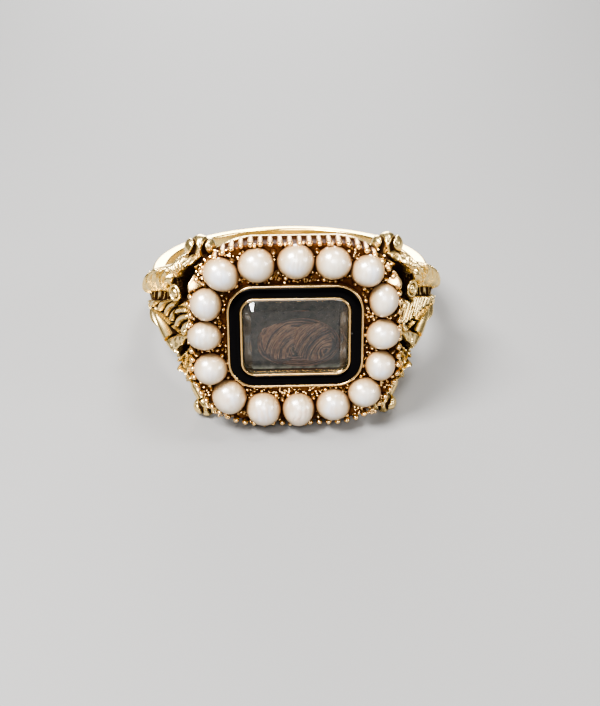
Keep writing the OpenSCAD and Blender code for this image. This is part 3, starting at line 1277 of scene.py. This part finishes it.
@dataclass
class Head:
    """The square head: its tapering wall with ribs, the seat with grains, and the rims of enamel and crystal.

    The wall is a row of heights over the seat, each with how far it lies inside the full outline.
    """

    wall: tuple[tuple[float, float], ...] = (
        (-1.59, 0.22), (-1.55, 0.12), (-1.42, 0.10), (-1.36, 0.22), (-1.25, 0.26), (-0.06, 0.22), (0.0, 0.26),
    )
    skin: float = 0.085
    ribs: int = 72
    rib_r: float = 0.19
    rib_foot_r: float = 0.15
    rib_h: float = 1.42
    rib_middle: float = -0.70
    rib_end: Point = (-0.03, 0, 0.02)
    bead_r: float = 0.12
    bead_gap: float = 0.10
    bead_angles: tuple[float, ...] = (-152, 180, 152, -26, 26)
    grain_spots: tuple[tuple[float, float], ...] = ((0.66, 0.95), (-0.62, 0.9), (-0.95, 0.62))
    grain_gap: float = 0.12
    granule_seed: int = 11
    granule_count: int = 380
    granule_r: float = 0.075
    granule_sizes: tuple[float, float] = (0.6, 1.35)
    granule_reach: float = 7.3
    corner_cut: tuple[tuple[float, float], ...] = ((6.02, 4.02), (6.40, 3.42), (6.36, 3.02), (5.42, 3.38))
    corner_h: float = 0.38
    corner_fall: float = 0.42
    low_corner: tuple[float, float] = (5.32, -3.15)

    def body(self) -> bpy.types.Object:
        """The closed box of the head, with the well cut into it.

        Returns:
            The object, with soil and painted shade, more of it on the wall below the seat.
        """
        s = SIZES
        low, drawn = self.wall[0]
        shape = s.head.inside(drawn)
        o = Bench.plate(shape, low)
        Bench.edit(o)
        for (h0, _), (h1, d1) in zip(self.wall, self.wall[1:]):
            bpy.ops.mesh.extrude_region_move(TRANSFORM_OT_translate={"value": (0, 0, h1 - h0)})
            new = s.head.inside(d1)
            bpy.ops.transform.resize(value=(new.a / shape.a, new.b / shape.b, 1), center_override=(0, 0, 0))
            shape = new
        Bench.cap(o)
        cutter = Bench.plate(s.well, -s.well_depth)
        Bench.edit(cutter)
        bpy.ops.mesh.extrude_region_move(TRANSFORM_OT_translate={"value": (0, 0, 2 * s.well_depth)})
        Bench.cap(cutter)
        Bench.modify(o, "BOOLEAN", object=cutter, operation="DIFFERENCE", solver="EXACT")
        bpy.data.objects.remove(cutter)
        Bench.modify(o, "REMESH", mode="VOXEL", voxel_size=self.skin)
        h = Bench.points(o)[:, 2]
        # Soil and painted shade over the whole box, darker on the wall below the seat.
        Bench.tag(o, "soil_and_shade", np.where(h > -0.12, 0.42, 0.75))
        o.data.transform(Pose.face())
        return o

    def back(self) -> bpy.types.Object:
        """The plain plate that closes the back, with the thin moulding round it.

        Returns:
            The object.
        """
        shape = SIZES.head.inside(0.08)
        plate = Bench.plate(shape.inside(0.2), -1.58)
        Bench.modify(plate, "SOLIDIFY", thickness=0.04, offset=-1.0)
        moulding = Bench.band(shape, width=0.3, low=-1.60, high=-1.37, edge=0.06)
        o = Bench.join([moulding, plate])
        o.data.transform(Pose.face())
        return o

    def claws(self) -> bpy.types.Object:
        """The ribs of the side wall, each ending in a bead that holds the pearls.

        Returns:
            The object, with soil and painted shade towards the ribs' feet.
        """
        rib = Bench.cone(12, self.rib_foot_r, self.rib_r, self.rib_h, self.rib_middle)
        bead = Bench.ball(self.rib_r * 0.92, segments=12, rings=8, at=self.rib_end)
        Bench.resize(bead, (1.1, 1.15, 1.7), self.rib_end)
        model = Bench.join([rib, bead])
        # Soil and painted shade, darker towards the foot of each rib.
        Bench.tag(model, "soil_and_shade", np.clip((-0.75 - Bench.points(model)[:, 2]) / 0.4, 0, 0.6))
        lean = Matrix.Rotation(math.atan2(0.06, 1.4), 4, "Y")
        places = []
        for k in range(self.ribs):
            p, angle = SIZES.head.inside(0.13).point((k + 0.5) / self.ribs)
            grow = 1.0 + 0.08 * math.sin(12.9 * k) * math.cos(3.7 * k)
            turn = Matrix.Rotation(angle, 4, "Z")
            places.append(Pose.face(p.x, p.y, 0.06) @ turn @ lean @ Matrix.Diagonal((1.0, grow, 1, 1)))
        return Bench.copies(model, places)

    def beads(self) -> bpy.types.Object:
        """Tiny beads that hug each pearl, three inside and two outside.

        Returns:
            The object.
        """
        bead = Bench.ball(self.bead_r, segments=10, rings=7, at=(0, 0, 0.05))
        places = []
        for k, p in enumerate(PEARLS):
            out = math.atan2(p.z * 1.1, p.x)
            for n, spread in enumerate(self.bead_angles):
                angle = out + math.radians(spread + 6 * math.sin(5.1 * k + n))
                reach = p.r + self.bead_gap
                size = 1.0 + 0.25 * math.sin(8.3 * k + 2.1 * n)
                place = Pose.face(p.x + reach * math.cos(angle), p.z + reach * math.sin(angle))
                places.append(place @ Matrix.Diagonal((size, size, size * 1.5, 1)))
        return Bench.copies(bead, places)

    def grains(self) -> bpy.types.Object:
        """Small cut grains in the gaps, outside the pearls and between them and the rim.

        Returns:
            The object.
        """
        grain = Bench.cone(5, foot=0.26, top=0.07, depth=0.34, middle=0.13)
        Bench.soften(grain, 0.045)
        places = []
        for p, q, k in zip(PEARLS, PEARLS[1:] + PEARLS[:1], range(len(PEARLS))):
            mid = Vector(((p.x + q.x) / 2, (p.z + q.z) / 2))
            gap = Vector((q.x - p.x, q.z - p.z)).length - p.r - q.r
            out = Vector((mid.x, mid.y * 1.12)).normalized()
            turn = math.atan2(out.y, out.x)
            for reach, size in self.grain_spots:
                spot = mid + out * (reach + 0.15 * gap)
                wobble = 0.5 * math.sin(7.1 * k + 3 * reach)
                place = Pose.face(spot.x, spot.y) @ Matrix.Rotation(turn + wobble, 4, "Z")
                places.append(place @ Matrix.Diagonal((size, size * 0.9, 1.0 + 0.3 * (reach > 0), 1)))
            inwards = -Vector((p.x, p.z * 1.12)).normalized()
            spot = Vector((p.x, p.z)) + inwards * (p.r + self.grain_gap)
            place = Pose.face(spot.x, spot.y) @ Matrix.Rotation(turn, 4, "Z")
            places.append(place @ Matrix.Diagonal((0.5, 0.5, 0.8, 1)))
        return Bench.copies(grain, places)

    def corners(self) -> bpy.types.Object:
        """The bright-cut pieces between the corner pearls and the side ones, which stay free of tarnish and
        painted shade.

        Returns:
            The object.
        """
        made = []
        for side in (-1, 1):
            Bench.clear()
            bpy.ops.mesh.primitive_circle_add(vertices=4, radius=1, fill_type="NGON")
            cut = bpy.context.object
            x, z = np.array(self.corner_cut).T
            top = self.corner_h - self.corner_fall * (z - 3.0) + 0.10 * (x > 6.3)
            Bench.place_points(cut, np.column_stack((side * x, z, top)))
            Bench.modify(cut, "SOLIDIFY", thickness=0.45, offset=side)
            Bench.soften(cut, 0.07)
            low = Bench.cone(3, foot=0.42, top=0.14, depth=0.4, middle=0.15)
            turn = Matrix.Rotation(side * 0.5, 4, "Z")
            low_x, low_z = self.low_corner
            low.data.transform(Matrix.Translation((side * low_x, low_z, 0)) @ turn)
            made += [cut, low]
        o = Bench.join(made)
        Bench.outward(o)
        Bench.tag(o, "soil_and_shade", -0.6)
        o.data.transform(Pose.face())
        return o

    def granules(self) -> bpy.types.Object:
        """Fine gold granules strewn over the seat between pearls and rim.

        Returns:
            The object.
        """
        rng = np.random.default_rng(self.granule_seed)
        field, rim = SIZES.head.inside(0.5), SIZES.rim
        Bench.clear()
        bpy.ops.mesh.primitive_ico_sphere_add(subdivisions=1, radius=self.granule_r)
        places = []
        while len(places) < self.granule_count:
            x, z = rng.uniform(-1, 1, 2) * (field.a, field.b)
            away = min(math.hypot(x - p.x, z - p.z) - p.r for p in PEARLS)
            past = max(abs(x) - rim.a, abs(z) - rim.b)
            if away > 0.02 and past > 0.06 and math.hypot(x, z) < self.granule_reach:
                size = rng.uniform(*self.granule_sizes)
                places.append(Pose.face(x, z, 0.02) @ Matrix.Diagonal((size, size, size, 1)))
        return Bench.copies(bpy.context.object, places)

    def rims(self) -> bpy.types.Object:
        """The two thin gold rims, either side of the enamel.

        Returns:
            The object.
        """
        s = SIZES
        outer = Bench.band(s.rim, s.rim_t, low=-0.05, high=s.rim_rise, edge=0.045)
        within = s.rim.inside(s.rim_t + s.enamel_w)
        inner = Bench.band(within, s.rim_t, low=-0.55, high=s.rim_rise + 0.02, edge=0.045)
        o = Bench.join([outer, inner])
        o.data.transform(Pose.face())
        return o

    def enamel(self, fit: float = 0.01) -> bpy.types.Object:
        """The black enamel, which fills the channel between the rims.

        Args:
            fit: the gap that it leaves at each rim.

        Returns:
            The object.
        """
        s = SIZES
        channel = s.rim.inside(s.rim_t + fit)
        o = Bench.band(channel, s.enamel_w - 2 * fit, low=0.06, high=s.rim_rise - 0.02, edge=0.07)
        o.data.transform(Pose.face())
        return o


@dataclass
class HalfPearl:
    """One half pearl, a little out of round."""

    row: PearlRow
    number: int
    foot_h: float = 0.03

    def build(self) -> bpy.types.Object:
        """A ball cut at the seat and pressed out of round.

        Returns:
            The object, with what its finish reads.
        """
        r, lift = self.row, SIZES.pearl_lift
        o = Bench.ball(r.r, segments=64, rings=40, at=(0, 0, lift))
        Bench.edit(o)
        bpy.ops.mesh.bisect(plane_co=(0, 0, self.foot_h), plane_no=(0, 0, 1), clear_inner=True, use_fill=True)
        Bench.clear()
        p = Bench.points(o)
        turn = math.radians(r.turn)
        c, s = math.cos(turn), math.sin(turn)
        lx, ly = p[:, 0] * c + p[:, 1] * s, -p[:, 0] * s + p[:, 1] * c
        direction = np.arctan2(ly, lx)
        lump = 1 + 0.018 * np.sin(2 * direction + self.number)
        lump += 0.012 * np.sin(3 * direction + 2.3 * self.number)
        lx, ly = lx * r.stretch * lump, ly / r.stretch * lump
        tall = 1 - 0.03 * np.sin(direction + self.number) * (np.hypot(lx, ly) / r.r)
        p = np.column_stack((lx * c - ly * s, lx * s + ly * c, p[:, 2] * tall))
        Bench.place_points(o, p)
        # Painted shade towards the seat, with a painted warm reflection of the gold that is stronger on the
        # lower side.
        low = np.clip(1 - p[:, 2] / (r.r + lift), 0, 1)
        Bench.tag(o, "foot", np.clip(low * (1 - 0.32 * p[:, 1] / r.r), 0, 1))
        Bench.tag(o, "blush", r.blush)
        Bench.tag(o, "grain", r.grain)
        o.data.transform(Pose.face(r.x, r.z))
        return o


class HairCurl(NamedTuple):
    """One curl of hair: its middle, half its size, the lean of its strands and the height of its crown."""

    x: float
    y: float
    half: float
    lean: float
    lift: float


@dataclass
class Hair:
    """The curled hair on its backing, seen through the crystal."""

    seed: int = 7
    panel_h: float = -0.42
    panel_rim: float = 0.42
    reflection_band: float = 0.35
    side_reflection_share: float = 0.35
    wreath_middle: tuple[float, float] = (0.15, -0.50)
    strand_r: float = 0.023
    clear_of_wall: float = 0.08
    curl_strands: int = 290
    wreath_strands: int = 200
    curls: tuple[HairCurl, ...] = (
        HairCurl(-0.86, -0.40, 1.22, 54, 0.15), HairCurl(1.08, -0.46, 1.25, 50, 0.18),
    )
    shades: tuple[HairFinish, ...] = (
        HairFinish("hair_dark", (0.012, 0.004, 0.002)),
        HairFinish("hair_mid", (0.105, 0.045, 0.023)),
        HairFinish("hair_light", (0.21, 0.105, 0.056)),
    )
    wreath_shares: Point = (0.45, 0.55, 0.0)
    curl_shares: Point = (0.28, 0.52, 0.2)

    def backing(self) -> bpy.types.Object:
        """The plate at the bottom of the well.

        Returns:
            The object, with its paler rim of painted reflection marked.
        """
        shape = SIZES.well.inside(0.02)
        o = Bench.plate(shape, self.panel_h)
        Bench.edit(o)
        bpy.ops.mesh.inset(thickness=self.panel_rim)
        Bench.clear()
        x, y, _ = np.abs(Bench.points(o)).T
        # Painted reflection: a paler rim where the crystal's bevels show the wall, full at top and bottom,
        # weaker at the sides.
        sides = np.where(x > shape.a - self.reflection_band, self.side_reflection_share, 0.0)
        Bench.tag(o, "rim", np.where(y > shape.b - self.reflection_band, 1.0, sides))
        Bench.modify(o, "SOLIDIFY", thickness=0.1, offset=-1.0)
        o.data.transform(Pose.face())
        return o

    def curl(self, rng: np.random.Generator, curl: HairCurl) -> list[np.ndarray]:
        """Strands that arch side by side over one curl.

        Args:
            rng: source of the small differences.
            curl: its place and size.

        Returns:
            A list of paths: rows of x, y and height over the backing.
        """
        paths = []
        half = curl.half
        c, s = math.cos(math.radians(curl.lean)), math.sin(math.radians(curl.lean))
        for across in rng.uniform(-1, 1, self.curl_strands):
            reach = half * math.sqrt(max(1 - across**2, 0.05)) * rng.uniform(0.9, 1.04)
            t = np.linspace(-1, 1, 15)
            px = t * reach
            py = across * half * 0.92 + 0.26 * half * (1 - t**2) * (1 - 0.2 * across) + rng.normal(0, 0.012)
            crown = np.sqrt(np.clip(1 - (px / (half * 1.08)) ** 2 - (across * 0.93) ** 2, 0, 1))
            h = curl.lift * crown + 0.015 + rng.uniform(-0.012, 0.02)
            py = py + 0.02 * np.sin(3 * t + rng.uniform(0, 6))
            paths.append(np.column_stack((curl.x + px * c - py * s, curl.y + px * s + py * c, h)))
        return paths

    def wreath(self, rng: np.random.Generator) -> list[np.ndarray]:
        """Strands that run round both curls.

        Args:
            rng: source of the differences.

        Returns:
            A list of paths: rows of x, y and height over the backing.
        """
        paths = []
        for _ in range(self.wreath_strands):
            start = rng.uniform(0, 2 * math.pi)
            angle = start + np.linspace(0, rng.uniform(0.9, 2.3), 16)
            k = rng.uniform(0, 1) ** 1.4
            drift = rng.normal(0, 0.07, 2)
            mid_x, mid_y = self.wreath_middle + drift
            x = mid_x + (1.7 + 0.85 * k) * np.cos(angle) + 0.03 * np.sin(5 * angle + 6 * k)
            y = mid_y + (1.0 + 0.55 * k) * np.sin(angle) + 0.03 * np.sin(4 * angle + 3 * k)
            h = 0.02 + 0.05 * math.sin(math.pi * k) + rng.uniform(0, 0.03)
            paths.append(np.column_stack((x, y, np.full(len(angle), h))))
        return paths

    def strands(self, paths: list[np.ndarray]) -> bpy.types.Object:
        """Makes one mesh of a bundle of paths.

        Args:
            paths: rows of x, y and height over the backing.

        Returns:
            The object.
        """
        limit = SIZES.well.inside(self.clear_of_wall)
        lines = []
        for path in paths:
            x = np.clip(path[:, 0], -limit.a, limit.a)
            y = np.clip(path[:, 1], -limit.b, limit.b)
            lines.append((np.column_stack((x, y, self.panel_h + path[:, 2])), np.ones(len(path))))
        o = Bench.tubes(lines, "POLY", resolution=0, r=self.strand_r)
        o.data.transform(Pose.face())
        return o

    def build(self) -> dict[HairFinish, bpy.types.Object]:
        """The hair, sorted by shade.

        Returns:
            One object for each shade.
        """
        rng = np.random.default_rng(self.seed)
        groups: dict[HairFinish, list[np.ndarray]] = {shade: [] for shade in self.shades}
        curls = [path for curl in self.curls for path in self.curl(rng, curl)]
        for paths, shares in ((self.wreath(rng), self.wreath_shares), (curls, self.curl_shares)):
            for path in paths:
                groups[self.shades[rng.choice(3, p=shares)]].append(path)
        return {shade: self.strands(bundle) for shade, bundle in groups.items()}


@dataclass
class ShadeAndPatina:
    """Finds where shade falls and polishing doesn't reach, for painted shade and patina: each vertex looks
    about and counts what is close to it.
    """

    reach: float = 0.85
    looks: int = 14
    quick_looks: int = 5
    near: float = 0.012
    widest: float = 0.92
    seen_share: float = 0.8
    soil_and_shade_share: float = 0.75
    fade: float = 0.6

    def directions(self) -> np.ndarray:
        """Directions spread evenly over the half round above a surface.

        Returns:
            One row for each look.
        """
        k = np.arange(self.looks) + 0.5
        up = np.sqrt(1 - k / self.looks * self.widest)
        flat = np.sqrt(1 - up**2)
        turn = k * math.pi * (3 - math.sqrt(5))
        return np.column_stack((flat * np.cos(turn), flat * np.sin(turn), up))

    def measure(self, targets: list[bpy.types.Object], solids: list[bpy.types.Object]) -> None:
        """Keeps on each target how hidden each vertex is, with its soil, as its painted shade and patina.

        Args:
            targets: the gold objects, in millimetres.
            solids: all that may stand in the way.
        """
        co, faces, count = [], [], 0
        for o in solids:
            co.append(Bench.points(o))
            faces.extend([[v + count for v in f.vertices] for f in o.data.polygons])
            count += len(co[-1])
        tree = BVHTree.FromPolygons([Vector(c) for c in np.vstack(co)], faces)
        rays = self.directions()[: None]
        for o in targets:
            hidden = self.hidden(o, tree, rays)
            soil_and_shade = o.data.attributes.get("soil_and_shade")
            if soil_and_shade:
                laid = np.empty(len(hidden), np.float32)
                soil_and_shade.data.foreach_get("value", laid)
                hidden = hidden * self.seen_share + laid * self.soil_and_shade_share
            # How hidden a vertex is stands for painted shade; the tagged soil adds more painted shade, with
            # grime.
            Bench.tag(o, "recess", np.clip(hidden, 0, 1))

    def hidden(self, o: bpy.types.Object, tree: BVHTree, rays: np.ndarray) -> np.ndarray:
        """Looks about from each vertex of one object.

        Args:
            o: the object.
            tree: all that may stand in the way.
            rays: directions over a surface that faces up.

        Returns:
            How hidden each vertex is, from 0 to 1.
        """
        p = Bench.points(o)
        normals = np.empty(len(p) * 3, np.float64)
        o.data.vertices.foreach_get("normal", normals)
        n = normals.reshape(-1, 3)
        helper = np.where(np.abs(n[:, 2:3]) < 0.9, np.array([[0.0, 0.0, 1.0]]), np.array([[1.0, 0.0, 0.0]]))
        a = np.cross(n, helper)
        a /= np.maximum(np.linalg.norm(a, axis=1, keepdims=True), 1e-9)
        b = np.cross(n, a)
        start = (p + n * self.near).tolist()
        total = np.zeros(len(p))
        for ray in rays:
            way = (a * ray[0] + b * ray[1] + n * ray[2]).tolist()
            total += np.fromiter((self.closeness(tree, s, d) for s, d in zip(start, way)), np.float64, len(p))
        return total / len(rays)

    def closeness(self, tree: BVHTree, start: list[float], way: list[float]) -> float:
        """How near the first thing in one direction is: 1 against the surface, 0 out of reach."""
        distance = tree.ray_cast(start, way, self.reach)[3]
        return 0.0 if distance is None else 1 - self.fade * distance / self.reach


# The scene round the ring


class Lamp(NamedTuple):
    """One soft box: where it hangs in metres, its side, and its strength in watts."""

    name: str
    place: Point
    size: float
    power: float


@dataclass(frozen=True)
class Studio:
    """A plain pale floor, soft light, and the camera at the photograph's angle."""

    camera_place: Point = (-0.0020, -0.06488, 0.04740)
    yaw: float = 2.33
    pitch: float = -37.58
    roll: float = 0.325
    lens: float = 58.23
    shift_y: float = 0.0133
    aim: Point = (0, -0.004, 0.006)
    floor_colour: tuple[float, float, float, float] = (0.195, 0.191, 0.186, 1)
    sky: tuple[float, float, float, float] = (0.64, 0.64, 0.65, 1)
    sky_strength: float = 0.20
    lamps: tuple[Lamp, ...] = (
        Lamp("key", (-0.075, -0.035, 0.145), 0.06, 0.94),
        Lamp("high", (0.05, 0.03, 0.16), 0.04, 0.26),
        Lamp("side", (0.14, -0.06, 0.07), 0.04, 0.12),
        Lamp("front", (-0.012, -0.1035, 0.0963), 0.05, 0.14),
        Lamp("back", (0.0, 0.16, 0.035), 0.10, 0.40),
    )

    def camera(self) -> None:
        """Sets the camera up."""
        data = bpy.data.cameras.new("camera")
        data.sensor_width = 36
        data.lens = self.lens
        data.shift_y = self.shift_y
        data.clip_start = 0.001
        o = bpy.data.objects.new("camera", data)
        bpy.context.scene.collection.objects.link(o)
        yaw = Matrix.Rotation(math.radians(-self.yaw), 4, "Z")
        pitch = Matrix.Rotation(math.radians(90 + self.pitch), 4, "X")
        roll = Matrix.Rotation(math.radians(self.roll), 4, "Z")
        o.matrix_world = Matrix.Translation(self.camera_place) @ yaw @ pitch @ roll
        bpy.context.scene.camera = o

    def floor(self) -> None:
        """A pale, matt floor."""
        Bench.clear()
        bpy.ops.mesh.primitive_plane_add(size=1.2, location=(0, 0, -0.00002))
        o = bpy.context.object
        o.name = "floor"
        o.data.materials.append(Dress("pale_floor").set(Base_Color=self.floor_colour, Roughness=0.7))

    def hang(self, lamp: Lamp) -> None:
        """Hangs one soft box, aimed at the ring.

        Args:
            lamp: its place, size and strength.
        """
        data = bpy.data.lights.new(lamp.name, "AREA")
        data.shape = "SQUARE"
        data.size = lamp.size
        data.energy = lamp.power
        o = bpy.data.objects.new(lamp.name, data)
        bpy.context.scene.collection.objects.link(o)
        turn = (Vector(self.aim) - Vector(lamp.place)).to_track_quat("-Z", "Y").to_matrix().to_4x4()
        o.matrix_world = Matrix.Translation(lamp.place) @ turn

    def build(self) -> None:
        """Puts up the whole studio."""
        self.camera()
        self.floor()
        for lamp in self.lamps:
            self.hang(lamp)
        world = bpy.data.worlds.new("world")
        world.use_nodes = True
        background = world.node_tree.nodes["Background"].inputs
        background["Color"].default_value = self.sky
        background["Strength"].default_value = self.sky_strength
        bpy.context.scene.world = world
        bpy.context.scene.view_settings.look = "AgX - Medium High Contrast"


def build_gold() -> dict[str, bpy.types.Object]:
    """Models every gold sub-assembly, upright and in millimetres.

    Returns:
        The objects by name.
    """
    made: dict[str, bpy.types.Object] = {"gold_hoop": Hoop().build()}
    for side in Side:
        word = side.name.lower()
        made[f"shoulder_leaf_{word}"] = Bench.join([Shoulder(side).build(), Curl(side).build()])
        made[f"corner_scrolls_{word}"] = Bench.join([Scroll(side, level).build() for level in Level])
        stems = [Stem(side, level).build() for level in (Level.HIGH, Level.LOW)]
        made[f"scroll_stems_{word}"] = Bench.join(stems)
    head = Head()
    made["head_box"] = head.body()
    made["head_back"] = head.back()
    made["head_ribs"] = head.claws()
    made["seat_grains"] = Bench.join([head.grains(), head.beads(), head.granules(), head.corners()])
    made["gold_rims"] = head.rims()
    return made


def main() -> None:
    """Builds, dresses and reports every piece."""
    logging.basicConfig(level=logging.INFO, format="%(message)s")
    Studio().build()
    gold = build_gold()
    pearls = [HalfPearl(row, k + 1).build() for k, row in enumerate(PEARLS)]
    enamel = Head().enamel()
    ShadeAndPatina().measure(list(gold.values()), [*gold.values(), *pearls, enamel])
    cast_gold, head_gold = CAST_GOLD.material(), HEAD_GOLD.material()
    # The head box wears the dark seat finish, tarnish with painted shadow.
    dress = {
        "gold_hoop": HOOP_GOLD.material(), "head_box": SHADED_SEAT_GOLD.material(), "head_ribs": head_gold,
        "seat_grains": head_gold, "gold_rims": head_gold,
    }
    for name, o in gold.items():
        Piece.finish(o, name, Slot.GOLD, dress.get(name, cast_gold), ("gold_ring",))
    nacre = PearlFinish().material()
    for k, o in enumerate(pearls, 1):
        Piece.finish(o, f"half_pearl_{k}", Slot.PEARL, nacre, (f"pearl_{k}",))
    Piece.finish(enamel, "enamel_frame", Slot.ENAMEL, EnamelFinish().material(), ("enamel_border",))
    hair = Hair()
    Piece.finish(hair.backing(), "hair_backing", Slot.HAIR, BackingFinish().material(), ("hair_panel",))
    for shade, o in hair.build().items():
        Piece.finish(o, shade.name, Slot.HAIR, shade.material())
    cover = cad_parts["crystal"]
    cover.data.materials.clear()
    cover.data.materials.append(CrystalFinish().material())


if __name__ == "__main__":
    main()
